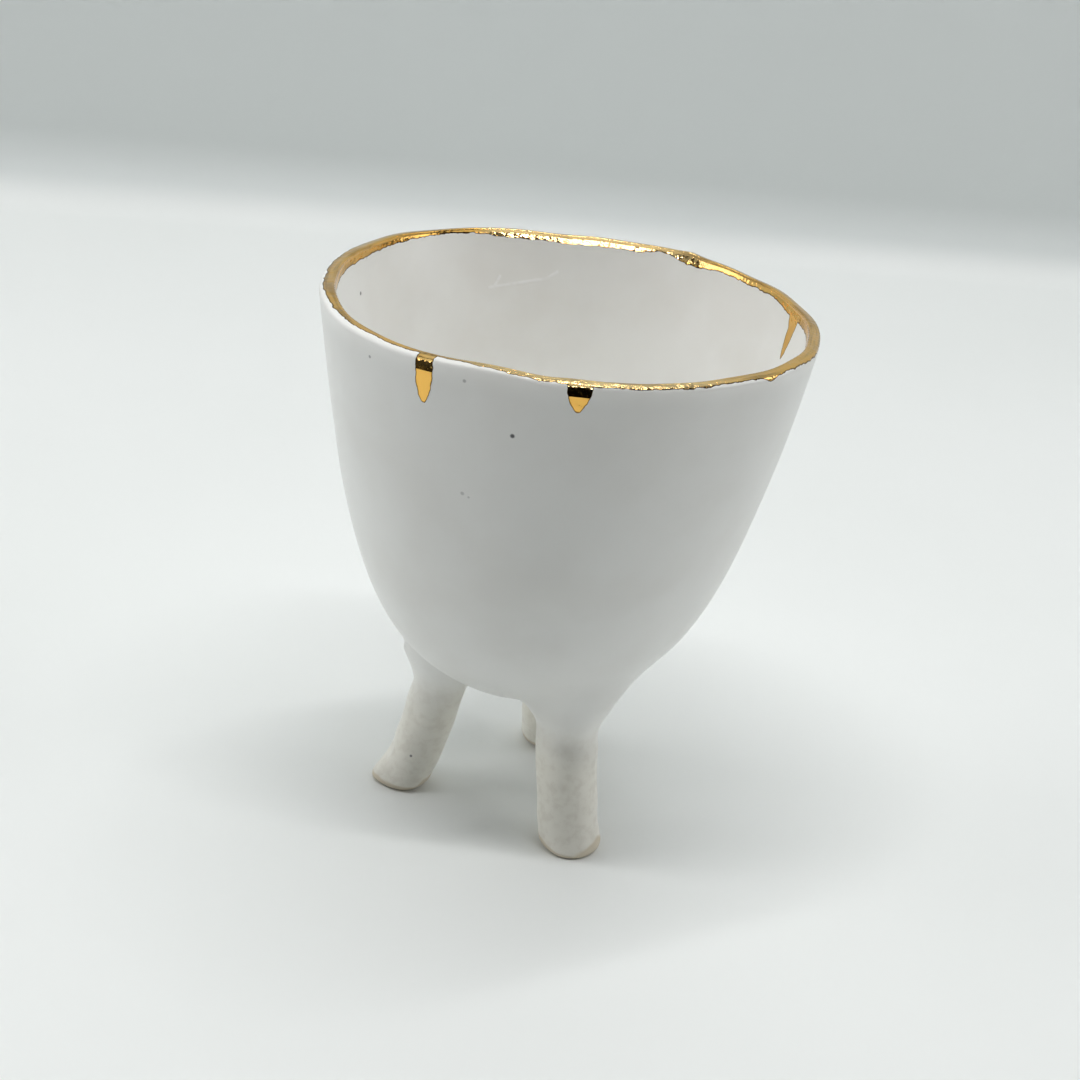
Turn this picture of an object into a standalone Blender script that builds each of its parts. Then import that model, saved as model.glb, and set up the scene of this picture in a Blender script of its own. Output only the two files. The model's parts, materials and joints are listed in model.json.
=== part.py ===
# Footed nut bowl: a hand-built glazed ceramic cup on three stubby coil legs, fired as one piece.
# Metres, +Z up. The feet stand on z = 0 and the bowl's box is centred over the origin.

import math

import bmesh
import bpy
from mathutils import Matrix, Vector

# The cup
RIM_DIAMETER = 0.1050      # across the outside of the lip
BOWL_HEIGHT = 0.1215       # from the table to the top of the lip
LEG_ROOM = 0.0308          # from the table to the underside of the cup
WALL = 0.0034              # thickness of the side and of the lip
FLOOR = 0.0050             # thickness of the bottom of the cup
BASE_REACH = 0.0372        # how far out the flat of the bottom pulls the curve of the side
BELLY_RADIUS = 0.0414      # how far out the side pulls the curve lower down
BELLY_HEIGHT = 0.0650      # how high above the table that pull is

# The legs, rolled coils that splay outwards and are smeared onto the cup at their tops.
# Each leg is its angle round from +X in degrees, its diameter, and how far its clay is smeared up
# the outer side of the cup.
LEGS = ((187.0, 0.0124, 0.0088), (307.0, 0.0137, 0.0150), (67.0, 0.0130, 0.0100))
FOOT_SWELL = 0.0008        # how much wider than its leg a foot is
FOOT_ROUNDING = 0.0022     # round edge of the foot's flat underside
FOOT_CIRCLE = 0.0518       # diameter of the circle through the middles of the feet
FOOT_KICK = 0.0014         # how far a foot turns out past the straight of its leg
KICK_HEIGHT = 0.0140       # from the table to where the leg begins to turn out
ROOT_CIRCLE = 0.0346       # diameter of the circle where the legs' middles meet the cup
SMEAR_DROP = 0.0033        # how far below the underside of the cup the smear begins
SMEAR_CURVE = 1.15         # 1 gives the smear straight sides, more hollows them
SMEAR_NARROWING = 1.5      # more keeps the smear closer to the outer side of the leg
SMEAR_INNER = 0.0022       # how far the clay is smeared along the cup on a leg's inner side
LEG_BITE = 0.0016          # how deep the leg's top reaches into the cup's bottom

# The hand leaves the lip a little out of round and out of level.
# Each wave is how many times it goes round, its size, and the angle of its first crest in degrees.
LIP_OUT_WAVES = ((2, 0.00027, 35.0), (3, 0.00026, -23.0), (4, 0.00035, 40.0), (5, 0.00043, -12.0))
LIP_UP_WAVES = ((1, 0.00058, -12.0), (2, 0.00036, -39.0), (3, 0.00042, 49.0))

# Gold lustre is a colour on the lip: where its drips run down the outside, in degrees, and how far
DRIP_ANGLES = (243.0, 274.0)
DRIP_WIDTH = 0.0050
DRIP_LENGTH = 0.0105

# How finely the round shapes are divided
CUP_SIDES = 72
OUTSIDE_RINGS = 20
INSIDE_RINGS = 15
LIP_STEPS = 6
LEG_SIDES = 24
FOOT_STEPS = 3
SHAFT_RINGS = 6
SMEAR_RINGS = 5
ROOT_RINGS = 3


def clear_objects():
    for thing in list(bpy.data.objects):
        bpy.data.objects.remove(thing, do_unlink=True)


def make_material(name, colour, roughness, metallic):
    material = bpy.data.materials.new(name)
    material.use_nodes = True
    shader = material.node_tree.nodes["Principled BSDF"]
    shader.inputs["Base Color"].default_value = (*colour, 1.0)
    shader.inputs["Roughness"].default_value = roughness
    shader.inputs["Metallic"].default_value = metallic
    return material


# The cup's profile, as (radius, height)

def wall_middle(t):
    # One curve in the middle of the clay, from the centre of the bottom (t = 0) to the lip (t = 1),
    # and its direction there.
    points = (
        Vector((0.0, LEG_ROOM + FLOOR / 2)),
        Vector((BASE_REACH, LEG_ROOM + FLOOR / 2)),
        Vector((BELLY_RADIUS, BELLY_HEIGHT)),
        Vector((RIM_DIAMETER / 2 - WALL / 2, BOWL_HEIGHT - WALL / 2)),
    )
    s = 1.0 - t
    weights = (s ** 3, 3 * s * s * t, 3 * s * t * t, t ** 3)
    slopes = (3 * s * s, 6 * s * t, 3 * t * t)
    place = sum((w * p for w, p in zip(weights, points)), Vector((0.0, 0.0)))
    steps = [after - before for before, after in zip(points, points[1:])]
    direction = sum((w * step for w, step in zip(slopes, steps)), Vector((0.0, 0.0)))
    return place, direction.normalized()


def thickness(t):
    # The bottom is thicker than the side, and thins out as the side rises.
    return WALL + (FLOOR - WALL) * (1.0 - t) ** 3


def wall_point(t, side):
    # side is -1 on the outside of the cup, 1 on its inside.
    place, direction = wall_middle(t)
    inward = Vector((-direction.y, direction.x))
    return place + side * thickness(t) / 2 * inward


def lip_point(turn):
    # The lip is a half round over the wall, from its outside (turn = 0) to its inside (turn = pi).
    place, direction = wall_middle(1.0)
    inward = Vector((-direction.y, direction.x))
    return place + WALL / 2 * (math.sin(turn) * direction - math.cos(turn) * inward)


def cup_profile():
    outside = [wall_point(i / OUTSIDE_RINGS, -1) for i in range(OUTSIDE_RINGS + 1)]
    lip = [lip_point(math.pi * i / LIP_STEPS) for i in range(1, LIP_STEPS)]
    inside = [wall_point(i / INSIDE_RINGS, 1) for i in range(INSIDE_RINGS, -1, -1)]
    return outside + lip + inside


def underside_height(radius):
    # Height of the cup's outside at a radius, found by halving.
    low, high = 0.0, 1.0
    for _ in range(40):
        middle = (low + high) / 2
        if wall_point(middle, -1).x < radius:
            low = middle
        else:
            high = middle
    return wall_point(low, -1).y


def waves(table, angle):
    return sum(size * math.cos(count * (angle - math.radians(crest))) for count, size, crest in table)


def cup_place(radius, height, angle):
    # The waves are full at the lip and die away to nothing at the underside.
    share = (height - LEG_ROOM) / (BOWL_HEIGHT - LEG_ROOM)
    radius *= 1.0 + share * waves(LIP_OUT_WAVES, angle) / (RIM_DIAMETER / 2)
    height += share * waves(LIP_UP_WAVES, angle)
    return Vector((radius * math.cos(angle), radius * math.sin(angle), height))


def closed_tube(bm, rings, first_end, last_end):
    # Joins rings of points into one closed body, with a point in the middle of each end.
    loops = [[bm.verts.new(point) for point in ring] for ring in rings]
    start = bm.verts.new(first_end)
    end = bm.verts.new(last_end)
    count = len(loops[0])
    for i in range(count):
        j = (i + 1) % count
        bm.faces.new((start, loops[0][j], loops[0][i]))
        bm.faces.new((end, loops[-1][i], loops[-1][j]))
        for lower, upper in zip(loops, loops[1:]):
            bm.faces.new((lower[i], lower[j], upper[j], upper[i]))


def make_object(name, bm):
    bmesh.ops.recalc_face_normals(bm, faces=bm.faces[:])
    mesh = bpy.data.meshes.new(name)
    bm.to_mesh(mesh)
    bm.free()
    mesh.shade_smooth()
    thing = bpy.data.objects.new(name, mesh)
    bpy.context.collection.objects.link(thing)
    return thing


def make_cup():
    profile = cup_profile()
    turns = [math.tau * i / CUP_SIDES for i in range(CUP_SIDES)]
    rings = [[cup_place(point.x, point.y, turn) for turn in turns] for point in profile[1:-1]]
    bm = bmesh.new()
    ends = [cup_place(0.0, profile[i].y, 0.0) for i in (0, -1)]
    closed_tube(bm, rings, *ends)
    return make_object("footed_bowl", bm)


def centre_of_box(thing):
    xs = [vertex.co.x for vertex in thing.data.vertices]
    ys = [vertex.co.y for vertex in thing.data.vertices]
    return Vector(((min(xs) + max(xs)) / 2, (min(ys) + max(ys)) / 2, 0.0))


# The legs

def leg_middle(height):
    # Distance from the bowl's axis to the middle of a leg at a height: a straight slope to the root,
    # with the foot turned out.
    top = underside_height(ROOT_CIRCLE / 2)
    straight_foot = FOOT_CIRCLE / 2 - FOOT_KICK
    straight = straight_foot + (ROOT_CIRCLE / 2 - straight_foot) * height / top
    return straight + FOOT_KICK * max(0.0, 1.0 - height / KICK_HEIGHT) ** 2


def leg_width(height, diameter):
    return diameter / 2 + FOOT_SWELL / 2 * max(0.0, 1.0 - height / KICK_HEIGHT)


def shaft_ring(heading, height, radius):
    middle = heading * leg_middle(height)
    ring = []
    for i in range(LEG_SIDES):
        side = Matrix.Rotation(math.tau * i / LEG_SIDES, 2) @ heading
        ring.append((middle + side * radius).to_3d() + Vector((0.0, 0.0, height)))
    return ring


def smear_reach(turn, smear):
    # How far the smear goes past the leg, at a turn from the leg's outer side.
    outer_share = ((1.0 + math.cos(turn)) / 2) ** SMEAR_NARROWING
    return SMEAR_INNER + (smear - SMEAR_INNER) * outer_share


def root_point(heading, turn, distance):
    # A point just inside the bottom of the cup, at a distance from the middle of the leg's root.
    place = heading * ROOT_CIRCLE / 2 + Matrix.Rotation(turn, 2) @ heading * distance
    return Vector((place.x, place.y, underside_height(place.length) + LEG_BITE))


def smear_ring(heading, share, diameter, smear):
    # A ring of the smear, a share of the way from the straight leg to the surface of the cup.
    start = LEG_ROOM - SMEAR_DROP
    middle = heading * (leg_middle(start) + (ROOT_CIRCLE / 2 - leg_middle(start)) * share)
    ring = []
    for i in range(LEG_SIDES):
        turn = math.tau * i / LEG_SIDES
        reach = smear_reach(turn, smear)
        end = root_point(heading, turn, diameter / 2 + reach).z
        side = Matrix.Rotation(turn, 2) @ heading
        place = middle + side * (diameter / 2 + reach * share ** SMEAR_CURVE)
        ring.append(place.to_3d() + Vector((0.0, 0.0, start + (end - start) * share)))
    return ring


def root_ring(heading, share, diameter, smear):
    # A ring inside the clay of the cup's bottom, which closes the top of the leg.
    turns = [math.tau * i / LEG_SIDES for i in range(LEG_SIDES)]
    return [root_point(heading, turn, share * (diameter / 2 + smear_reach(turn, smear))) for turn in turns]


def make_leg(angle, diameter, smear):
    heading = Matrix.Rotation(math.radians(angle), 2) @ Vector((1.0, 0.0))
    start = LEG_ROOM - SMEAR_DROP
    rings = []
    for i in range(FOOT_STEPS + 1):
        turn = math.pi / 2 * i / FOOT_STEPS
        height = FOOT_ROUNDING * (1.0 - math.cos(turn))
        radius = leg_width(height, diameter) - FOOT_ROUNDING * (1.0 - math.sin(turn))
        rings.append(shaft_ring(heading, height, radius))
    for i in range(1, SHAFT_RINGS + 1):
        height = FOOT_ROUNDING + (start - FOOT_ROUNDING) * i / SHAFT_RINGS
        rings.append(shaft_ring(heading, height, leg_width(height, diameter)))
    for i in range(1, SMEAR_RINGS + 1):
        rings.append(smear_ring(heading, i / SMEAR_RINGS, diameter, smear))
    for i in range(ROOT_RINGS, 0, -1):
        rings.append(root_ring(heading, i / (ROOT_RINGS + 1), diameter, smear))
    sole = (heading * leg_middle(0.0)).to_3d()
    bm = bmesh.new()
    closed_tube(bm, rings, sole, root_point(heading, 0.0, 0.0))
    return make_object("leg_%d" % angle, bm)


def fuse(body, piece):
    union = body.modifiers.new(piece.name, "BOOLEAN")
    union.operation = "UNION"
    union.solver = "EXACT"
    union.object = piece
    piece.hide_render = True
    piece.display_type = "WIRE"


# The lustre

def on_lustre(place):
    across = math.hypot(place.x, place.y)
    lip = cup_place(RIM_DIAMETER / 2, BOWL_HEIGHT, math.atan2(place.y, place.x)).z
    below = lip - place.z
    if below < WALL / 2:
        return True
    for angle in DRIP_ANGLES:
        turn = math.atan2(place.y, place.x) - math.radians(angle)
        sideways = abs(math.remainder(turn, math.tau)) * across
        outside = across > wall_middle(1.0)[0].x - WALL
        if outside and sideways < DRIP_WIDTH / 2 and below < DRIP_LENGTH:
            return True
    return False


def paint(cup):
    cup.data.materials.append(make_material("white_glaze", (0.80, 0.80, 0.78), 0.16, 0.0))
    cup.data.materials.append(make_material("gold_lustre", (0.83, 0.56, 0.20), 0.14, 1.0))
    for face in cup.data.polygons:
        face.material_index = 1 if on_lustre(face.center) else 0


clear_objects()
bowl = make_cup()
paint(bowl)
shift = -centre_of_box(bowl)
legs = [make_leg(*leg) for leg in LEGS]
for thing in [bowl, *legs]:
    for vertex in thing.data.vertices:
        vertex.co += shift
for leg in legs:
    leg.data.materials.append(bowl.data.materials[0])
    fuse(bowl, leg)
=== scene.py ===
import json
import math

import bpy
from mathutils import Matrix, Vector, noise
from mathutils.geometry import interpolate_bezier

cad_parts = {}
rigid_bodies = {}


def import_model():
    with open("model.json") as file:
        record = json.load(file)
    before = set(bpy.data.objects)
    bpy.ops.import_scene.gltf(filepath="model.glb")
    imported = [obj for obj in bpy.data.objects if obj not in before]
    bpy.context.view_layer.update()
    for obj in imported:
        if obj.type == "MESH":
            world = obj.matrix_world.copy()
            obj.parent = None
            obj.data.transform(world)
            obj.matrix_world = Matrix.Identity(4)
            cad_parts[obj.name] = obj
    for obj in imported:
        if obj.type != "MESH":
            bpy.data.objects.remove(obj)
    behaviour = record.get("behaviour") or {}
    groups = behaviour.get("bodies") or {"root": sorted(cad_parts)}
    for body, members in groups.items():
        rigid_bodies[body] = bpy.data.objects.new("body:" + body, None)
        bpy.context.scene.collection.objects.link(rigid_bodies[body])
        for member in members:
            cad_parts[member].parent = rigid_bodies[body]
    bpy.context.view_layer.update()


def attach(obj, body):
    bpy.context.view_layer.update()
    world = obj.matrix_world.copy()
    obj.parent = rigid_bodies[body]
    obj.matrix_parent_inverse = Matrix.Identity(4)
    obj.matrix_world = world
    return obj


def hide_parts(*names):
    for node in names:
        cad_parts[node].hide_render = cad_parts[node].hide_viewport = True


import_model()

bowlHeight = 0.1212  # from the table to the top of the lip, before the hand makes it uneven
legRoom = 0.0308     # from the table to the underside of the cup


# Small helpers

def deselectAll():
    if bpy.context.mode != "OBJECT":
        bpy.ops.object.mode_set(mode="OBJECT")
    for thing in bpy.context.view_layer.objects:
        thing.select_set(False)


def makeActive(piece):
    deselectAll()
    piece.select_set(True)
    bpy.context.view_layer.objects.active = piece


def addModifier(piece, kind, name, **settings):
    modifier = piece.modifiers.new(name, kind)
    for key, value in settings.items():
        setattr(modifier, key, value)
    return modifier


def applyModifier(piece, kind, name, **settings):
    addModifier(piece, kind, name, **settings)
    makeActive(piece)
    bpy.ops.object.modifier_apply(modifier=name)


def selectVertices(piece, test):
    # Edit mode keeps its own selection, so the choice is made in object mode and then carried over.
    makeActive(piece)
    bpy.ops.object.mode_set(mode="EDIT")
    bpy.ops.mesh.select_mode(type="VERT")
    bpy.ops.mesh.select_all(action="DESELECT")
    bpy.ops.object.mode_set(mode="OBJECT")
    for vertex in piece.data.vertices:
        vertex.select = test(vertex.co)
    bpy.ops.object.mode_set(mode="EDIT")


def extrudeRing(move, scale, centre):
    # Pulls the selected ring out by one step, then scales it about a point.
    bpy.ops.mesh.extrude_region_move(TRANSFORM_OT_translate={"value": move})
    bpy.ops.transform.resize(value=scale, center_override=centre)


def boxOf(piece):
    places = [vertex.co for vertex in piece.data.vertices]
    low = Vector([min(place[i] for place in places) for i in range(3)])
    high = Vector([max(place[i] for place in places) for i in range(3)])
    return low, high


# The cup: one curve in the middle of the clay, from under its centre to its lip

cup = {
    "rimDiameter": 0.1052,
    "wall": 0.0034,
    "floor": 0.0050,
    "baseReach": 0.0372,
    "bellyRadius": 0.0414,
    "bellyHeight": 0.0650,
    "rings": 64,
    "sides": 192,
    # the hand's unevenness: times round, size, angle of the first crest
    "outWaves": ((2, 0.00027, 35.0), (3, 0.00026, -23.0), (4, 0.00035, 40.0), (5, 0.00043, -12.0)),
    "upWaves": ((1, 0.00058, -12.0), (2, 0.00036, -39.0), (3, 0.00042, 49.0)),
    # the same for the lip alone, where the clay was pinched
    "pinchOut": ((7, 0.00012, 20.0), (11, 0.00010, 75.0), (17, 0.00006, 5.0)),
    "pinchUp": ((8, 0.00011, 66.0), (13, 0.00008, 30.0), (19, 0.00005, 10.0)),
    "knob": {"angle": 60.0, "width": 3.0, "height": 0.0004},
    # where the lip is pulled in or up as a whole: angle and millimetres
    "pullOut": (
        (0, 0.0), (180, 0.0), (215, -0.2), (240, -0.5), (258, -0.9), (275, -0.9), (292, -0.6),
        (312, -0.8), (330, -0.8), (346, -0.4)),
    "pullUp": (
        (0, 0.45), (20, 0.35), (60, 0.25), (90, 0.3), (150, 0.35), (180, 0.7), (200, 0.9), (230, 0.75),
        (258, 1.1), (270, 0.8), (280, 0.3), (290, 0.05), (300, 0.0), (310, 0.05), (320, 0.2),
        (330, 0.1), (345, 0.42)),
    "pullFade": 9,       # the higher, the nearer to the lip the pulls and pinches stay
    # share of its thickness that the wall loses at the lip
    "lipTaper": (
        (0, 0.2), (25, 0.26), (140, 0.22), (165, 0.05), (200, 0.0), (220, 0.12), (245, 0.28), (300, 0.3)),
    "dentSize": 0.019,   # finger marks, from one to the next
    "dentDepth": 0.0003,
    "dentPress": 0.35,   # how much of the dents lies below the even surface
    "dentFree": 0.020,   # radius within which they fade out
}


def cupCurve():
    # Points of the middle of the wall as (radius, height), the centre of the bottom first.
    low = legRoom + cup["floor"] / 2
    points = interpolate_bezier(
        Vector((0.0, 0.0, low)),
        Vector((cup["baseReach"], 0.0, low)),
        Vector((cup["bellyRadius"], 0.0, cup["bellyHeight"])),
        Vector((cup["rimDiameter"] / 2 - cup["wall"] / 2, 0.0, bowlHeight - cup["wall"] / 2)),
        cup["rings"] + 1,
    )
    return [(point.x, point.z) for point in points]


def waves(table, angle):
    return sum(size * math.cos(count * (angle - math.radians(crest))) for count, size, crest in table)


def readRound(table, angle):
    # Value of a table of angles at any angle, eased from each entry to the next.
    degrees = math.degrees(angle) % 360.0
    entries = list(table) + [(table[0][0] + 360.0, table[0][1])]
    for (lowAngle, low), (highAngle, high) in zip(entries, entries[1:]):
        if degrees <= highAngle:
            share = (degrees - lowAngle) / (highAngle - lowAngle)
            return low + (high - low) * (3 - 2 * share) * share * share


def middleRadius(height):
    # Radius of the middle of the cup's wall at a height.
    for (lowRadius, lowHeight), (highRadius, highHeight) in zip(wallCurve, wallCurve[1:]):
        if height <= highHeight:
            share = (height - lowHeight) / max(highHeight - lowHeight, 1e-9)
            return lowRadius + (highRadius - lowRadius) * max(0.0, share)
    return wallCurve[-1][0]


def lipShare(height):
    # 1 at the lip, falling to nothing some 20 mm below it.
    return min(1.1, max(0.0, (height - legRoom) / (bowlHeight - legRoom)) ** cup["pullFade"])


def handMoves(angle, height):
    # How far the hand pulled the clay out and up there: more towards the lip.
    share = (height - legRoom) / (bowlHeight - legRoom)
    knob = cup["knob"]
    turn = math.degrees(math.remainder(angle - math.radians(knob["angle"]), math.tau)) / knob["width"]
    lipOut = waves(cup["pinchOut"], angle) + readRound(cup["pullOut"], angle) / 1000
    lipUp = waves(cup["pinchUp"], angle) + readRound(cup["pullUp"], angle) / 1000
    lipUp += knob["height"] * math.exp(-turn * turn)
    out = share * waves(cup["outWaves"], angle) + lipShare(height) * lipOut
    up = share * waves(cup["upWaves"], angle) + lipShare(height) * lipUp
    return out, up


def handShape(piece):
    # The wall thins to its lip, the lip wanders, and finger marks leave the wall very slightly dented.
    for vertex in piece.data.vertices:
        place = vertex.co
        angle = math.atan2(place.y, place.x)
        radius = place.xy.length
        out, up = handMoves(angle, place.z)
        out *= radius / (cup["rimDiameter"] / 2)
        out -= (radius - middleRadius(place.z)) * readRound(cup["lipTaper"], angle) * lipShare(place.z)
        dent = cup["dentDepth"] * (noise.noise(place / cup["dentSize"]) - cup["dentPress"])
        dent *= min(1.0, radius / cup["dentFree"])
        outward = Vector((math.cos(angle), math.sin(angle), 0.0))
        vertex.co = place + outward * (out + dent) + Vector((0.0, 0.0, up))


def makeCup():
    curve = cupCurve()
    radius, height = curve[1]
    deselectAll()
    bpy.ops.mesh.primitive_circle_add(
        vertices=cup["sides"], radius=radius, fill_type="TRIFAN", location=(0, 0, 0))
    piece = bpy.context.active_object
    piece.data.transform(Matrix.Translation((0, 0, height)))
    selectVertices(piece, lambda place: place.xy.length > radius / 2)
    for (oldRadius, oldHeight), (newRadius, newHeight) in zip(curve[1:], curve[2:]):
        scale = newRadius / oldRadius
        extrudeRing((0, 0, newHeight - oldHeight), (scale, scale, 1), (0, 0, newHeight))
    # half a wall more, which the rounding of the lip takes up
    (beforeRadius, beforeHeight), (lipRadius, lipHeight) = curve[-2:]
    direction = Vector((lipRadius - beforeRadius, lipHeight - beforeHeight)).normalized() * cup["wall"] / 2
    scale = 1.0 + direction.x / lipRadius
    extrudeRing((0, 0, direction.y), (scale, scale, 1), (0, 0, lipHeight))
    bpy.ops.object.mode_set(mode="OBJECT")
    selectVertices(piece, lambda place: True)
    bpy.ops.mesh.normals_make_consistent(inside=False)
    bpy.ops.object.mode_set(mode="OBJECT")
    # the bottom is left thicker than the side
    group = piece.vertex_groups.new(name="clay")
    radii = [point[0] for point in curve]
    for vertex in piece.data.vertices:
        near = min(range(len(radii)), key=lambda i: abs(radii[i] - vertex.co.xy.length))
        share = (1.0 - near / cup["rings"]) ** 3
        clay = cup["wall"] + (cup["floor"] - cup["wall"]) * share
        group.add([vertex.index], clay / cup["floor"], "REPLACE")
    applyModifier(
        piece, "SOLIDIFY", "wall", thickness=cup["floor"], offset=0.0, vertex_group="clay",
        use_even_offset=True)
    roundLip(piece)
    return piece


def roundLip(piece):
    # Both edges of the lip are rounded until they meet in a half round.
    top = max(vertex.co.z for vertex in piece.data.vertices)
    selectVertices(piece, lambda place: place.z > top - cup["wall"] / 3)
    bpy.ops.mesh.bevel(
        offset=cup["wall"] * 0.49, segments=8, profile=0.5, affect="EDGES", clamp_overlap=True)
    bpy.ops.object.mode_set(mode="OBJECT")


print("cup")
wallCurve = cupCurve()
bowl = makeCup()
handShape(bowl)
cupLow, cupHigh = boxOf(bowl)


# Legs: a rolled coil each, stood on its foot and smeared onto the cup

legs = {
    # angle round from +X in degrees, diameter, distance of the foot from the bowl's axis,
    # how far the clay is smeared up the cup, how well it is wiped
    "each": (
        (187.0, 0.0124, 0.0259, 0.0088, 0.3),
        (307.0, 0.0137, 0.0259, 0.0150, 0.8),
        (69.5, 0.0132, 0.0248, 0.0100, 0.6),
    ),
    "footSwell": 0.0008,
    "footRounding": 0.0022,
    "footKick": 0.0014,
    "kickHeight": 0.0140,
    "rootCircle": 0.0346,
    "smearDrop": 0.0033,
    "smearInner": 0.0022,
    "smearCurve": 1.15,
    "smearNarrowing": 1.5,
    "bite": 0.0016,
    "sides": 64,
    "footSteps": 5,
    "shaftSteps": 40,
    "smearSteps": 12,
    "rootSteps": 5,
    "stepUp": 0.001,     # height given to each smear ring before it is shaped
}


def underside(target, x, y):
    # Height of the cup's outside over a point, looked for from below.
    hit, place, _, _ = target.ray_cast(Vector((x, y, -0.01)), Vector((0, 0, 1)))
    return place.z if hit else legRoom


def legMiddle(height, rootHeight, foot):
    straightFoot = foot - legs["footKick"]
    straight = straightFoot + (legs["rootCircle"] / 2 - straightFoot) * height / rootHeight
    return straight + legs["footKick"] * max(0.0, 1.0 - height / legs["kickHeight"]) ** 2


def legWidth(height, diameter):
    return diameter / 2 + legs["footSwell"] / 2 * max(0.0, 1.0 - height / legs["kickHeight"])


def shapeSmear(piece, target, diameter, smear, startMiddle):
    # Rings above the straight leg are drawn out along the underside of the cup.
    start = legRoom - legs["smearDrop"]
    top = start + legs["smearSteps"] * legs["stepUp"]
    root = legs["rootCircle"] / 2
    for vertex in piece.data.vertices:
        share = (vertex.co.z - start) / (top - start)
        if share < 0.01:
            continue
        offset = Vector((vertex.co.x - startMiddle, vertex.co.y))
        ringShare = offset.length / (diameter / 2)
        turn = math.atan2(offset.y, offset.x)
        lobe = ((1.0 + math.cos(turn)) / 2) ** legs["smearNarrowing"]
        reach = legs["smearInner"] + (smear - legs["smearInner"]) * lobe
        side = Vector((math.cos(turn), math.sin(turn)))
        middle = startMiddle + (root - startMiddle) * min(share, 1.0)
        outer = diameter / 2 + reach
        if share > 0.99:
            place = Vector((root, 0)) + side * outer * ringShare
            height = underside(target, place.x, place.y) + legs["bite"]
        else:
            end = Vector((root, 0)) + side * outer
            place = Vector((middle, 0)) + side * (diameter / 2 + reach * share ** legs["smearCurve"])
            height = start + (underside(target, end.x, end.y) + legs["bite"] - start) * share
        vertex.co = Vector((place.x, place.y, height))


def makeLeg(target, angle, diameter, foot, smear):
    # Made pointing along +X, then turned to its place.
    rootHeight = underside(target, legs["rootCircle"] / 2, 0.0)
    start = legRoom - legs["smearDrop"]
    rounding = legs["footRounding"]
    rings = []
    for i in range(legs["footSteps"] + 1):
        turn = math.pi / 2 * i / legs["footSteps"]
        height = rounding * (1.0 - math.cos(turn))
        rings.append((height, legWidth(height, diameter) - rounding * (1.0 - math.sin(turn))))
    for i in range(1, legs["shaftSteps"] + 1):
        height = rounding + (start - rounding) * i / legs["shaftSteps"]
        rings.append((height, legWidth(height, diameter)))
    deselectAll()
    middle = legMiddle(0.0, rootHeight, foot)
    bpy.ops.mesh.primitive_circle_add(
        vertices=legs["sides"], radius=rings[0][1], fill_type="TRIFAN", location=(0, 0, 0))
    piece = bpy.context.active_object
    piece.data.transform(Matrix.Translation((middle, 0, 0)))
    sole = rings[0][1]
    selectVertices(piece, lambda place: (place.xy - Vector((middle, 0))).length > sole / 2)
    for (oldHeight, oldWidth), (height, width) in zip(rings, rings[1:]):
        lean = legMiddle(height, rootHeight, foot) - legMiddle(oldHeight, rootHeight, foot)
        centre = (legMiddle(height, rootHeight, foot), 0, height)
        extrudeRing((lean, 0, height - oldHeight), (width / oldWidth, width / oldWidth, 1), centre)
    startMiddle = legMiddle(start, rootHeight, foot)
    centre = (startMiddle, 0, start)
    for i in range(legs["smearSteps"]):
        extrudeRing((0, 0, legs["stepUp"]), (1, 1, 1), centre)
    for i in range(legs["rootSteps"], 1, -1):
        extrudeRing((0, 0, 0), ((i - 1) / i, (i - 1) / i, 1), centre)
    bpy.ops.mesh.extrude_region_move(TRANSFORM_OT_translate={"value": (0, 0, 0)})
    bpy.ops.mesh.merge(type="CENTER")
    bpy.ops.mesh.select_all(action="SELECT")
    bpy.ops.mesh.normals_make_consistent(inside=False)
    bpy.ops.object.mode_set(mode="OBJECT")
    turned = target.copy()
    turned.data = target.data.copy()
    turned.data.transform(Matrix.Rotation(-math.radians(angle), 4, "Z"))
    bpy.context.collection.objects.link(turned)
    bpy.context.view_layer.update()
    shapeSmear(piece, turned, diameter, smear, startMiddle)
    bpy.data.objects.remove(turned, do_unlink=True)
    piece.data.transform(Matrix.Rotation(math.radians(angle), 4, "Z"))
    return piece


def middleHeight(radius):
    # Height of the middle of the cup's wall at a radius.
    for (lowRadius, lowHeight), (highRadius, highHeight) in zip(wallCurve, wallCurve[1:]):
        if radius <= highRadius:
            share = (radius - lowRadius) / (highRadius - lowRadius)
            return lowHeight + (highHeight - lowHeight) * share
    return wallCurve[-1][1]


wipe = {
    "low": 0.024,        # the sponge reaches from this height
    "high": 0.062,       # to this one
    "reach": 0.004,      # and so far past the smeared clay
    "fade": 0.003,
    "strokes": 40,
}


def joinLegs(bowl):
    pieces = [makeLeg(bowl, *leg[:4]) for leg in legs["each"]]
    for piece in pieces:
        applyModifier(bowl, "BOOLEAN", "join", operation="UNION", solver="EXACT", object=piece)
    for piece in pieces:
        bpy.data.objects.remove(piece, do_unlink=True)
    # the wet clay is wiped smooth where leg and cup meet
    group = bowl.vertex_groups.new(name="wiped")
    for vertex in bowl.data.vertices:
        place = vertex.co
        if not wipe["low"] < place.z < wipe["high"] or place.z > middleHeight(place.xy.length):
            continue
        for angle, diameter, _, smear, wiped in legs["each"]:
            heading = Vector((math.cos(math.radians(angle)), math.sin(math.radians(angle))))
            root = heading * legs["rootCircle"] / 2
            offset = place.xy - root
            lobe = max(0.0, (1.0 + offset.normalized().dot(heading)) / 2) ** legs["smearNarrowing"]
            reach = diameter / 2 + legs["smearInner"] + (smear - legs["smearInner"]) * lobe
            gap = offset.length - reach
            if gap < wipe["reach"]:
                weight = min(1.0, (wipe["reach"] - gap) / wipe["fade"], (place.z - wipe["low"]) / wipe["fade"])
                group.add([vertex.index], max(0.0, weight) * wiped, "ADD")
    applyModifier(
        bowl, "SMOOTH", "wipe", factor=0.5, iterations=wipe["strokes"], vertex_group="wiped")


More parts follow.
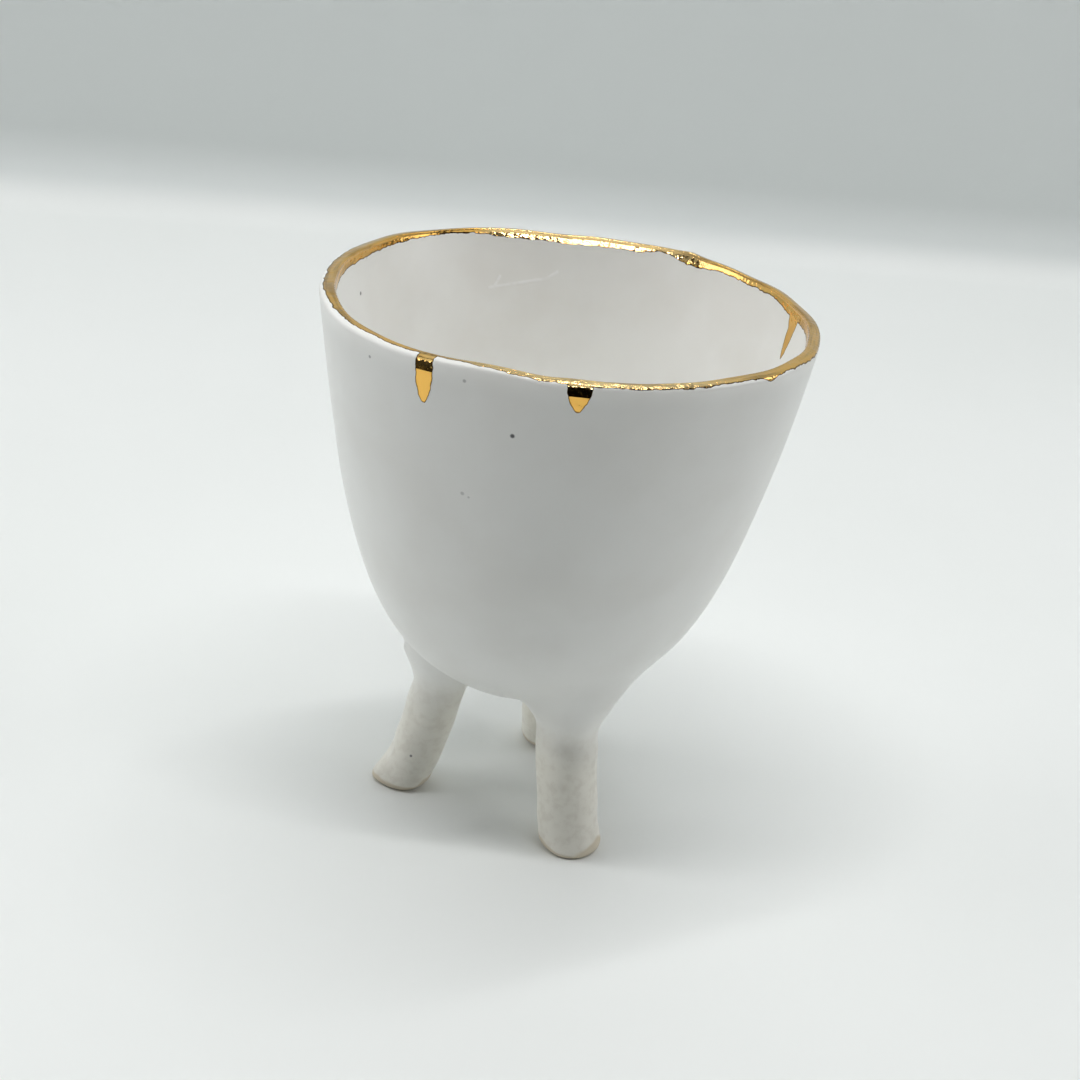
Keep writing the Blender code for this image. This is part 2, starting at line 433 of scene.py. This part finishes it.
lumps = {
    "size": 0.0065,      # from one lump on a leg to the next
    "height": 0.0005,
    "top": 0.0060,       # how far above the underside of the cup they fade out
    "spread": 1.8,       # times its radius, how far a thumb mark reaches
    "steepness": 1.6,
    # thumb marks: centre, radius and depth
    "dents": (
        ((0.0127, -0.0236, 0.0172), 0.0015, 0.0006),
        ((-0.0293, -0.0034, 0.0082), 0.0030, 0.0012),
        # the left foot spreads under its own weight
        ((-0.0306, -0.0040, 0.0018), 0.0032, -0.0014),
        ((-0.0255, -0.0085, 0.0190), 0.0035, 0.0004),
        ((0.0175, -0.0215, 0.0080), 0.0030, 0.0004),
        # clay left standing on the shoulder of the left leg
        ((-0.0298, -0.0040, 0.0345), 0.0055, -0.0012),
    ),
}


def shapeLegs(piece):
    # Coils rolled by hand are lumpy; the soles stay flat.
    for vertex in piece.data.vertices:
        place = vertex.co
        if place.z > legRoom + lumps["top"] or place.z > middleHeight(place.xy.length) - 0.001:
            continue
        fade = min(1.0, (legRoom + lumps["top"] - place.z) / lumps["top"])
        spot = place / lumps["size"]
        lump = Vector((noise.noise(spot), noise.noise(spot + Vector((7.3, 1.9, 4.1))), 0.0))
        move = lump * lumps["height"] * fade
        for centre, radius, depth in lumps["dents"]:
            near = (place - Vector(centre)).length / radius
            if near < lumps["spread"]:
                level = Vector((vertex.normal.x, vertex.normal.y, 0.0))
                move -= level * depth * math.exp(-near * near * lumps["steepness"])
        vertex.co = place + move


print("legs")
joinLegs(bowl)
shapeLegs(bowl)


# Gold lustre: a film of metal brushed on the lip, so it has no thickness here, only an edge.
# Three values are kept at every vertex: how far it is from the crest of the lip along the wall
# (more than 0 outside), how far inside the gold band's edge, and how coarse the brushing is there.

lustre = {
    # angle in degrees, and how far the gold reaches from the crest, in millimetres
    "outer": (
        (0, 2.1), (25, 2.0), (60, 1.6), (100, 1.6), (140, 1.5), (165, 1.2), (190, 1.05), (202, 0.7),
        (214, 0.3), (228, 0.1), (234, 0.1), (240, -0.2), (247, 0.1), (253, 0.9), (260, 1.4),
        (300, 1.5), (310, 1.3), (317, 1.4), (321, 2.2), (325, 1.5), (345, 1.9)),
    "inner": (
        (0, 2.7), (15, 3.2), (30, 2.4), (48, 2.4), (60, 3.4), (67, 1.8), (75, 2.6), (90, 2.8),
        (112, 2.6), (119, 1.8), (130, 1.8), (140, 2.3), (152, 2.5), (165, 2.8), (185, 2.7),
        (210, 2.4), (250, 2.4), (300, 2.4), (340, 2.4)),
    # and how coarsely it was brushed on, from 0 to 1
    "grain": (
        (0, 0.15), (50, 0.3), (62, 1.0), (113, 1.0), (120, 0.1), (235, 0.2), (252, 1.0), (298, 1.0),
        (312, 0.5), (330, 0.2)),
}


def crestReach(place):
    # Millimetres from the crest, as if the lip had been left even.
    angle = math.atan2(place.y, place.x)
    out, up = handMoves(angle, place.z)
    half = cup["wall"] / 2
    height = place.z - up
    middle = middleRadius(height)
    offset = (place.xy.length - out - middle) / (1.0 - readRound(cup["lipTaper"], angle) * lipShare(height))
    above = height - (bowlHeight - half)
    if above > 0.0:
        return 1000 * half * math.atan2(offset, above)
    reach = min(1000 * (half * math.pi / 2 - above), 20.0)
    return reach if offset > 0.0 else -reach


print("lustre")
for layerName in ("crestReach", "lustreEdge", "lustreGrain"):
    bowl.data.attributes.new(layerName, "FLOAT", "POINT")
for index, vertex in enumerate(bowl.data.vertices):
    angle = math.atan2(vertex.co.y, vertex.co.x)
    reach = crestReach(vertex.co)
    bowl.data.attributes["crestReach"].data[index].value = reach
    bowl.data.attributes["lustreEdge"].data[index].value = min(
        readRound(lustre["outer"], angle) - reach, readRound(lustre["inner"], angle) + reach)
    bowl.data.attributes["lustreGrain"].data[index].value = readRound(lustre["grain"], angle)

middle = (cupLow + cupHigh) / 2
bowl.data.transform(Matrix.Translation((-middle.x, -middle.y, 0)))
bowl.data.update()


# Materials

def toLinear(hexColour):
    values = [int(hexColour[i:i + 2], 16) / 255 for i in (1, 3, 5)]
    return [v / 12.92 if v <= 0.04045 else ((v + 0.055) / 1.055) ** 2.4 for v in values] + [1.0]


def addNode(tree, kind, inputs=None, output=None, **settings):
    # Adds a node; an input is a plain value, or a socket to link from. Gives the node or one output of it.
    node = tree.nodes.new("ShaderNode" + kind)
    for key, value in settings.items():
        setattr(node, key, value)
    for key, value in (inputs or {}).items():
        if isinstance(value, bpy.types.NodeSocket):
            tree.links.new(value, node.inputs[key])
        else:
            node.inputs[key].default_value = value
    return node if output is None else node.outputs[output]


smooth = {"interpolation_type": "SMOOTHSTEP"}
rgba = {"data_type": "RGBA"}


def startMaterial(name):
    material = bpy.data.materials.new(name)
    material.use_nodes = True
    tree = material.node_tree
    tree.nodes.clear()
    shader = addNode(tree, "BsdfPrincipled")
    addNode(tree, "OutputMaterial", {"Surface": shader.outputs["BSDF"]})
    return material, tree, shader


glaze = {
    "white": "#F4F4F1",       # white tin glaze over pale clay
    "shade": "#EFEEEA",       # where the glaze is thinner and the clay warms it
    "outside": "#D2D3D1",     # painted shade: greys the outside of the cup, which gets less light than the inside
    "outsideShadeShare": 0.35,
    "leg": "#EFECE0",         # and warms it on the legs
    "patch": "#D6D0C4",       # where it shows through there
    "patches": 420.0,         # of them to the metre
    "bareClay": "#D8CEBA",    # wiped feet, unglazed
    "speck": "#35343A",       # iron in the clay, burnt through
    "roughness": 0.3,
    "bareRoughness": 0.75,
    "mottle": 0.018,          # metres from one cloud of thin glaze to the next
    "swells": 90.0,           # shallow waves of it to the metre
    "swellHeight": 0.0003,
    "wipedWander": 0.012,     # how unevenly the feet are wiped
    # iron specks: angle, height, inside or outside, radius and strength
    "specks": (
        (260.9, 0.1095, "outside", 0.00045, 0.95),
        (250.1, 0.0944, "outside", 0.00040, 0.35),
        (251.7, 0.0939, "outside", 0.00025, 0.30),
        (166.3, 0.1129, "inside", 0.00042, 0.80),
        (161.3, 0.1198, "inside", 0.00030, 0.40),
        (224.9, 0.1168, "outside", 0.00032, 0.55),
        (249.3, 0.1185, "outside", 0.00035, 0.45),
        (202.0, 0.0103, "outside", 0.00032, 0.75),
        (58.0, 0.0870, "outside", 0.00035, 0.60),
        (131.0, 0.1040, "outside", 0.00030, 0.40),
    ),
    # a tool's scratches in the glaze inside: angle and height of their bends
    "scratches": (
        ((115.1, 0.1079), (106.0, 0.1092), (98.1, 0.1107), (95.6, 0.1124)),
        ((112.0, 0.1105), (113.8, 0.1080)),
    ),
    "scratchWidth": 0.00030,
    "scratchHeight": 0.00006,
    # painted highlight: the white that the scratches are lifted towards, for the light on their ridges
    "scratchHighlight": "#FFFFFF",
}

gold = {
    "bright": "#F5C063",      # bright lustre
    "coarse": "#FFE3AA",      # where it went on thick and in grains
    "coarseShare": 0.7,
    "thin": "#4A2E10",        # where the film thins out at its edge
    "roughness": 0.08,
    "ragged": 1.1,            # millimetres from the innermost to the outermost of the brushed edge
    "strokeEnds": 430.0,      # of the brush to the metre
    "brushMark": 0.0022,      # metres between the marks of the brush
    "markHeight": 0.00016,
    "grain": 0.0011,          # and between the grains where it went on coarsely
    "grainHeight": 0.0003,
    "streaks": 1.1,           # brush streaks across one millimetre
    "streakLength": 0.010,
    "streakShare": 0.4,
    "lipSlope": 0.0008,       # how steeply the inner edge of the lip is worn at the back
    "lipRadius": 51.5,        # millimetres from the bowl's axis to the lip
    # runs of lustre: angle, width and length from the crest in millimetres, how late it tapers,
    # side of the wall, how steeply its thick upper end rises
    "runs": (
        (-120.2, 3.8, 10.4, 5.0, 1.0, 0.00042),
        (-86.1, 4.8, 6.9, 3.2, 1.0, 0.00062),
        (14.4, 8.2, 6.6, 1.1, -1.0, 0.0),
        (13.2, 4.0, 12.4, 3.2, -1.0, 0.0),
    ),
    "runWander": 0.9,
    "runShoulder": 3.6,       # millimetres from the crest to where a run lies flat on the wall
}


def surfacePoint(piece, angle, height, side):
    # Where a speck sits on the bowl, looked for level from outside or from the axis.
    heading = Vector((math.cos(math.radians(angle)), math.sin(math.radians(angle)), 0))
    level = Vector((0, 0, height))
    if side == "inside":
        return piece.ray_cast(level, heading)[1]
    return piece.ray_cast(level + heading * 0.2, -heading)[1]


def scratchDistance(piece, tree, spot):
    # Distance to the nearest straight stretch of any scratch.
    nearest = None
    for line in glaze["scratches"]:
        bends = [surfacePoint(piece, angle, height, "inside") for angle, height in line]
        for start, end in zip(bends, bends[1:]):
            along = end - start
            offset = addNode(tree, "VectorMath", {0: spot, 1: start}, "Vector", operation="SUBTRACT")
            share = addNode(tree, "VectorMath", {0: offset, 1: along}, "Value", operation="DOT_PRODUCT")
            share = addNode(
                tree, "Math", {0: share, 1: along.length_squared}, 0, operation="DIVIDE", use_clamp=True)
            foot = addNode(tree, "VectorMath", {0: along, "Scale": share}, "Vector", operation="SCALE")
            far = addNode(tree, "VectorMath", {0: offset, 1: foot}, "Value", operation="DISTANCE")
            nearest = far if nearest is None else addNode(
                tree, "Math", {0: nearest, 1: far}, 0, operation="MINIMUM")
    return nearest


def addRuns(tree, turn, reach, wander, edge):
    # Widens the gold by its runs, and gives the slopes at their thick upper ends.
    shoulder = addNode(tree, "Math", {0: reach, 1: gold["runShoulder"]}, 0, operation="SUBTRACT")
    shoulder = addNode(tree, "Math", {0: shoulder, 1: 0.0}, 0, operation="MINIMUM")
    rough = addNode(tree, "Math", {0: wander, 1: gold["runWander"]}, 0, operation="MULTIPLY")
    bead = 0.0
    for angle, width, length, taper, side, rise in gold["runs"]:
        down = addNode(tree, "Math", {0: reach, 1: side}, 0, operation="MULTIPLY")
        fall = addNode(tree, "Math", {0: down, 1: length}, 0, operation="DIVIDE", use_clamp=True)
        half = addNode(tree, "Math", {0: fall, 1: taper}, 0, operation="POWER")
        half = addNode(tree, "Math", {0: 1.0, 1: half}, 0, operation="SUBTRACT")
        half = addNode(tree, "Math", {0: half, 1: width / 2}, 0, operation="MULTIPLY")
        aside = addNode(tree, "Math", {0: turn, 1: math.radians(angle)}, 0, operation="SUBTRACT")
        aside = addNode(tree, "Math", {0: aside}, 0, operation="ABSOLUTE")
        aside = addNode(tree, "Math", {0: aside, 1: gold["lipRadius"]}, 0, operation="MULTIPLY")
        within = addNode(tree, "Math", {0: half, 1: aside}, 0, operation="SUBTRACT")
        start = addNode(tree, "Math", {0: down, 1: 0.3}, 0, operation="ADD")
        within = addNode(tree, "Math", {0: within, 1: start}, 0, operation="MINIMUM")
        end = addNode(tree, "Math", {0: length - 0.4, 1: down}, 0, operation="SUBTRACT")
        within = addNode(tree, "Math", {0: within, 1: end}, 0, operation="MINIMUM")
        within = addNode(tree, "Math", {0: within, 1: rough}, 0, operation="ADD")
        edge = addNode(tree, "Math", {0: edge, 1: within}, 0, operation="MAXIMUM")
        thick = addNode(tree, "MapRange", {"Value": within, "From Min": -0.05, "From Max": 0.1}, "Result", **smooth)
        below = addNode(tree, "MapRange", {"Value": down, "From Min": 1.3, "From Max": 1.7}, "Result", **smooth)
        thick = addNode(tree, "Math", {0: thick, 1: below}, 0, operation="MULTIPLY")
        slope = addNode(tree, "Math", {0: shoulder, 1: thick}, 0, operation="MULTIPLY")
        bead = addNode(tree, "Math", {0: slope, 1: rise, 2: bead}, 0, operation="MULTIPLY_ADD")
    return edge, bead


def makeGlaze(piece):
    # Glazed earthenware: dipped in white glaze and fired glossy, feet wiped bare, and gold lustre
    # brushed on the lip and fired again, which mirrors the room in brown and yellow.
    material, tree, shader = startMaterial("glazed_earthenware_with_gold_lustre")
    spot = addNode(tree, "TexCoord", output="Object")
    place = addNode(tree, "SeparateXYZ", {"Vector": spot}).outputs
    height = place["Z"]
    reach = addNode(tree, "Attribute", output="Fac", attribute_name="crestReach")

    # thin and thick glaze in soft clouds, and painted shade greying the outside of the cup
    cloud = addNode(tree, "TexNoise", {"Vector": spot, "Scale": 1 / glaze["mottle"], "Detail": 3.0}, "Fac")
    cloud = addNode(tree, "MapRange", {"Value": cloud, "From Min": 0.35, "From Max": 0.7}, "Result", **smooth)
    colour = addNode(
        tree, "Mix", {0: cloud, 6: toLinear(glaze["white"]), 7: toLinear(glaze["shade"])}, 2, **rgba)
    # painted shade: a grey is mixed in on the cup's outside, from just below the crest down to above the legs
    outside = addNode(tree, "MapRange", {"Value": reach, "From Min": 0.5, "From Max": 6.0}, "Result", **smooth)
    cupOnly = addNode(
        tree, "MapRange", {"Value": height, "From Min": 0.022, "From Max": 0.045}, "Result", **smooth)
    outside = addNode(tree, "Math", {0: outside, 1: cupOnly}, 0, operation="MULTIPLY")
    outside = addNode(tree, "Math", {0: outside, 1: glaze["outsideShadeShare"]}, 0, operation="MULTIPLY")
    colour = addNode(tree, "Mix", {0: outside, 6: colour, 7: toLinear(glaze["outside"])}, 2, **rgba)

    # warmer and patchy on the legs
    low = addNode(tree, "MapRange", {"Value": height, "From Min": 0.036, "From Max": 0.018}, "Result", **smooth)
    share = addNode(tree, "Math", {0: low, 1: 0.8}, 0, operation="MULTIPLY")
    colour = addNode(tree, "Mix", {0: share, 6: colour, 7: toLinear(glaze["leg"])}, 2, **rgba)
    patch = addNode(tree, "TexNoise", {
        "Vector": spot, "Scale": glaze["patches"], "Detail": 3.0, "Roughness": 0.6}, "Fac")
    patch = addNode(tree, "MapRange", {"Value": patch, "From Min": 0.42, "From Max": 0.68}, "Result", **smooth)
    patch = addNode(tree, "Math", {0: patch, 1: low}, 0, operation="MULTIPLY")
    patch = addNode(tree, "Math", {0: patch, 1: 0.38}, 0, operation="MULTIPLY")
    colour = addNode(tree, "Mix", {0: patch, 6: colour, 7: toLinear(glaze["patch"])}, 2, **rgba)

    # iron specks, with a soft burnt edge
    for angle, level, side, radius, strength in glaze["specks"]:
        centre = surfacePoint(piece, angle, level, side)
        far = addNode(tree, "VectorMath", {0: spot, 1: centre}, "Value", operation="DISTANCE")
        burn = addNode(tree, "MapRange", {
            "Value": far, "From Min": radius * 1.35, "From Max": radius * 0.55,
            "To Max": strength}, "Result", **smooth)
        colour = addNode(tree, "Mix", {0: burn, 6: colour, 7: toLinear(glaze["speck"])}, 2, **rgba)

    # scratches, broken, and lifted towards white as a painted highlight on their ridges
    scratch = addNode(tree, "MapRange", {
        "Value": scratchDistance(piece, tree, spot),
        "From Min": glaze["scratchWidth"] * 1.8, "From Max": glaze["scratchWidth"] * 0.3}, "Result", **smooth)
    broken = addNode(tree, "TexNoise", {"Vector": spot, "Scale": 500.0, "Detail": 1.0}, "Fac")
    broken = addNode(tree, "MapRange", {"Value": broken, "From Min": 0.1, "From Max": 0.6}, "Result", **smooth)
    scratch = addNode(tree, "Math", {0: scratch, 1: broken}, 0, operation="MULTIPLY")
    share = addNode(tree, "Math", {0: scratch, 1: 0.6}, 0, operation="MULTIPLY")
    colour = addNode(tree, "Mix", {0: share, 6: colour, 7: toLinear(glaze["scratchHighlight"])}, 2, **rgba)

    # bare clay at the soles, higher on one side of a foot than on the other
    wiped = addNode(tree, "TexNoise", {"Vector": spot, "Scale": 85.0}, "Fac")
    wiped = addNode(tree, "Math", {0: wiped, 1: 0.5}, 0, operation="SUBTRACT")
    wiped = addNode(tree, "Math", {0: wiped, 1: glaze["wipedWander"], 2: height}, 0, operation="MULTIPLY_ADD")
    bare = addNode(tree, "MapRange", {"Value": wiped, "From Min": 0.0030, "From Max": 0.0019}, "Result", **smooth)
    colour = addNode(tree, "Mix", {0: bare, 6: colour, 7: toLinear(glaze["bareClay"])}, 2, **rgba)

    # gold: the band on the lip, with an edge made ragged by the brush, and the runs below it
    wander = addNode(tree, "TexNoise", {
        "Vector": spot, "Scale": gold["strokeEnds"], "Roughness": 0.6}, "Fac")
    wander = addNode(tree, "Math", {0: wander, 1: 0.5}, 0, operation="SUBTRACT")
    band = addNode(tree, "Attribute", output="Fac", attribute_name="lustreEdge")
    edge = addNode(tree, "Math", {0: wander, 1: gold["ragged"], 2: band}, 0, operation="MULTIPLY_ADD")
    turn = addNode(tree, "Math", {0: place["Y"], 1: place["X"]}, 0, operation="ARCTAN2")
    edge, bead = addRuns(tree, turn, reach, wander, edge)
    isGold = addNode(tree, "MapRange", {"Value": edge, "From Min": -0.03, "From Max": 0.04}, "Result", **smooth)

    # the brush went along the lip, so its streaks do too
    across = addNode(tree, "Math", {0: reach, 1: gold["streaks"]}, 0, operation="MULTIPLY")
    across = addNode(tree, "CombineXYZ", {"Z": across}, "Vector")
    along = addNode(tree, "VectorMath", {0: spot, "Scale": 1 / gold["streakLength"]}, "Vector", operation="SCALE")
    streak = addNode(tree, "VectorMath", {0: along, 1: across}, "Vector", operation="ADD")
    streak = addNode(tree, "TexNoise", {"Vector": streak, "Scale": 1.0}, "Fac")
    streak = addNode(tree, "MapRange", {"Value": streak, "From Min": 0.6, "From Max": 0.35}, "Result", **smooth)
    onLip = addNode(tree, "Math", {0: reach}, 0, operation="ABSOLUTE")
    onLip = addNode(tree, "MapRange", {"Value": onLip, "From Min": 3.2, "From Max": 2.4}, "Result", **smooth)
    streak = addNode(tree, "Math", {0: streak, 1: onLip}, 0, operation="MULTIPLY")
    streak = addNode(tree, "Math", {0: streak, 1: gold["streakShare"]}, 0, operation="MULTIPLY")
    film = addNode(tree, "MapRange", {"Value": edge, "From Min": 0.04, "From Max": 0.34}, "Result", **smooth)
    whole = addNode(tree, "Math", {0: 1.0, 1: streak}, 0, operation="SUBTRACT")
    film = addNode(tree, "Math", {0: film, 1: whole}, 0, operation="MULTIPLY")
    grainy = addNode(tree, "Attribute", output="Fac", attribute_name="lustreGrain")
    coarse = addNode(tree, "Math", {0: grainy, 1: onLip}, 0, operation="MULTIPLY")
    coarse = addNode(tree, "Math", {0: coarse, 1: gold["coarseShare"]}, 0, operation="MULTIPLY")
    metal = addNode(
        tree, "Mix", {0: coarse, 6: toLinear(gold["bright"]), 7: toLinear(gold["coarse"])}, 2, **rgba)
    metal = addNode(tree, "Mix", {0: film, 6: toLinear(gold["thin"]), 7: metal}, 2, **rgba)
    colour = addNode(tree, "Mix", {0: isGold, 6: colour, 7: metal}, 2, **rgba)

    # inside the back of the lip the gold lies on a worn slope that looks up
    within = addNode(tree, "Math", {0: reach, 1: -1.0}, 0, operation="MULTIPLY")
    slope = addNode(tree, "Math", {0: within, 1: 4.5}, 0, operation="SUBTRACT")
    slope = addNode(tree, "Math", {0: slope, 1: 0.0}, 0, operation="MINIMUM")
    slope = addNode(tree, "Math", {0: slope, 1: gold["lipSlope"]}, 0, operation="MULTIPLY")
    worn = addNode(tree, "MapRange", {"Value": within, "From Min": 1.0, "From Max": 1.6}, "Result", **smooth)
    worn = addNode(tree, "Math", {0: worn, 1: grainy}, 0, operation="MULTIPLY")
    worn = addNode(tree, "Math", {0: worn, 1: isGold}, 0, operation="MULTIPLY")
    bead = addNode(tree, "Math", {0: slope, 1: worn, 2: bead}, 0, operation="MULTIPLY_ADD")

    # the glaze lies over the clay in shallow waves; the brush leaves marks and grains in the gold
    swell = addNode(tree, "TexNoise", {"Vector": spot, "Scale": glaze["swells"], "Detail": 1.0}, "Fac")
    surface = addNode(tree, "Math", {0: swell, 1: glaze["swellHeight"], 2: bead}, 0, operation="MULTIPLY_ADD")
    surface = addNode(
        tree, "Math", {0: scratch, 1: glaze["scratchHeight"], 2: surface}, 0, operation="MULTIPLY_ADD")
    grain = addNode(tree, "TexNoise", {"Vector": spot, "Scale": 1 / gold["grain"], "Roughness": 0.6}, "Fac")
    grain = addNode(tree, "Math", {0: grain, 1: grainy}, 0, operation="MULTIPLY")
    grain = addNode(tree, "Math", {0: grain, 1: gold["grainHeight"]}, 0, operation="MULTIPLY")
    marks = addNode(tree, "TexNoise", {"Vector": spot, "Scale": 1 / gold["brushMark"]}, "Fac")
    marks = addNode(tree, "Math", {0: marks, 1: gold["markHeight"], 2: grain}, 0, operation="MULTIPLY_ADD")
    surface = addNode(tree, "Math", {0: marks, 1: isGold, 2: surface}, 0, operation="MULTIPLY_ADD")
    normal = addNode(tree, "Bump", {"Height": surface, "Strength": 1.0, "Distance": 1.0}, "Normal")

    rough = addNode(tree, "Mix", {0: isGold, 2: glaze["roughness"], 3: gold["roughness"]}, 0)
    rough = addNode(tree, "Mix", {0: bare, 2: rough, 3: glaze["bareRoughness"]}, 0)
    tree.links.new(colour, shader.inputs["Base Color"])
    tree.links.new(isGold, shader.inputs["Metallic"])
    tree.links.new(rough, shader.inputs["Roughness"])
    tree.links.new(normal, shader.inputs["Normal"])
    return material


print("materials")
bowl.name = "footed_bowl_glazed"
bowl.data.name = bowl.name
bowl.data.materials.clear()
bowl.data.materials.append(makeGlaze(bowl))
bowl.data.polygons.foreach_set("material_index", [0] * len(bowl.data.polygons))
makeActive(bowl)
bpy.ops.object.shade_smooth()
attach(bowl, "root")
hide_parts("footed_bowl")


# Studio: a pale sweep whose upright part is painted a greyer shade, three strips of light overhead, a window at
# each side, and a pale room that is darker in front

studio = {
    "floor": "#F0F2F1",
    "floorShade": "#E9ECEA",
    "wall": "#D6DBDA",      # painted shade: the upright part greyed for the lesser light that falls on it
    "sweepTurn": 11.0,      # degrees that the back of the sweep is turned from the X axis
    "sweepBack": 0.440,     # metres from the bowl to where the sweep begins to rise
    "sweepBend": 0.03,
    "sweepSize": (5.0, 3.0, 2.0),
    "lights": (
        # name, place, width, depth, power
        ("strip_front", (0.0, -0.30, 1.30), 1.1, 0.06, 6.3),
        ("strip_middle", (-0.05, 0.08, 1.32), 1.1, 0.06, 4.6),
        ("strip_back", (0.0, 0.46, 1.22), 1.1, 0.05, 1.0),
        ("window_left", (-1.2, 0.0, 0.6), 0.8, 0.8, 5.2),
        ("window_right", (1.2, 0.1, 0.6), 0.8, 0.8, 3.8),
    ),
    "lightAim": (0.0, 0.0, 0.06),
    "room": "#F2F4F4",
    "roomStrength": 0.15,
    "frontStrength": 0.03,
    # where the camera's side of the room is hidden: direction, and how much of its light is lost
    "shade": (0.0, -0.94, 0.34),
    "shadeShare": 0.95,
}


def makeSweep():
    width, depth, height = studio["sweepSize"]
    back = studio["sweepBack"] + studio["sweepBend"]
    deselectAll()
    bpy.ops.mesh.primitive_plane_add(size=1, location=(0, 0, 0))
    sweep = bpy.context.active_object
    sweep.name = "studio_sweep"
    sweep.data.transform(Matrix.Diagonal((width, depth, 1.0, 1.0)))
    sweep.data.transform(Matrix.Translation((0, back - depth / 2, 0)))
    selectVertices(sweep, lambda place: place.y > back - 0.01)
    bpy.ops.mesh.extrude_region_move(TRANSFORM_OT_translate={"value": (0, 0, height)})
    bpy.ops.object.mode_set(mode="OBJECT")
    selectVertices(sweep, lambda place: place.y > back - 0.01 and place.z < 0.01)
    bpy.ops.mesh.bevel(offset=studio["sweepBend"], segments=16, profile=0.5, affect="EDGES")
    bpy.ops.object.mode_set(mode="OBJECT")
    sweep.data.transform(Matrix.Rotation(math.radians(studio["sweepTurn"]), 4, "Z"))
    bpy.ops.object.shade_smooth()
    # matt paper, very slightly uneven
    material, tree, shader = startMaterial("matt_paper_sweep")
    spot = addNode(tree, "TexCoord", output="Object")
    grain = addNode(tree, "TexNoise", {"Vector": spot, "Scale": 6.0, "Detail": 3.0}, "Fac")
    tone = addNode(
        tree, "Mix", {0: grain, 6: toLinear(studio["floor"]), 7: toLinear(studio["floorShade"])}, 2, **rgba)
    height = addNode(tree, "SeparateXYZ", {"Vector": spot}, "Z")
    # painted shade: the sweep turns grey as it rises
    uprightShade = addNode(tree, "MapRange", {"Value": height, "From Min": 0.0, "From Max": 0.012}, "Result", **smooth)
    tone = addNode(tree, "Mix", {0: uprightShade, 6: tone, 7: toLinear(studio["wall"])}, 2, **rgba)
    tree.links.new(tone, shader.inputs["Base Color"])
    shader.inputs["Roughness"].default_value = 0.6
    sweep.data.materials.append(material)


def addLight(name, place, width, depth, power):
    light = bpy.data.lights.new(name, "AREA")
    light.shape = "RECTANGLE"
    light.size = width
    light.size_y = depth
    light.energy = power
    lamp = bpy.data.objects.new(name, light)
    lamp.location = place
    aim = Vector(studio["lightAim"]) - lamp.location
    lamp.rotation_euler = aim.to_track_quat("-Z", "Y").to_euler()
    bpy.context.collection.objects.link(lamp)


def makeRoom():
    world = bpy.data.worlds.new("pale_room")
    bpy.context.scene.world = world
    world.use_nodes = True
    tree = world.node_tree
    tree.nodes.clear()
    direction = addNode(tree, "TexCoord", output="Generated")
    front = addNode(tree, "SeparateXYZ", {"Vector": direction}, "Y")
    strength = addNode(tree, "MapRange", {
        "Value": front, "From Min": -0.8, "From Max": 0.2,
        "To Min": studio["frontStrength"], "To Max": studio["roomStrength"]}, "Result", **smooth)
    towards = addNode(tree, "VectorMath", {0: direction, 1: studio["shade"]}, "Value", operation="DOT_PRODUCT")
    light = addNode(tree, "MapRange", {
        "Value": towards, "From Min": 0.74, "From Max": 0.92,
        "To Min": 1.0, "To Max": 1.0 - studio["shadeShare"]}, "Result", **smooth)
    strength = addNode(tree, "Math", {0: strength, 1: light}, 0, operation="MULTIPLY")
    background = addNode(
        tree, "Background", {"Color": toLinear(studio["room"]), "Strength": strength}, "Background")
    addNode(tree, "OutputWorld", {"Surface": background})


print("studio")
makeSweep()
for lightSettings in studio["lights"]:
    addLight(*lightSettings)
makeRoom()
bpy.context.scene.view_settings.view_transform = "Standard"


# Camera: a hand-held photo, tilted a little, looking down on the bowl

camera = {
    "place": (0.0, -0.36208, 0.23852),
    "down": 25.60,      # degrees below level
    "aside": -0.05,     # degrees to the right
    "roll": 7.5,        # degrees that the right side of the camera is raised
    "lens": 60.0,
    "sensor": 36.0,
}


def makeCamera():
    data = bpy.data.cameras.new("camera")
    data.lens = camera["lens"]
    data.sensor_width = camera["sensor"]
    data.sensor_fit = "HORIZONTAL"
    data.clip_start = 0.01
    holder = bpy.data.objects.new("camera", data)
    bpy.context.collection.objects.link(holder)
    holder.location = camera["place"]
    holder.rotation_euler = (math.radians(90 - camera["down"]), 0, math.radians(-camera["aside"]))
    holder.rotation_euler.rotate_axis("Z", math.radians(camera["roll"]))
    bpy.context.scene.camera = holder


print("camera")
makeCamera()
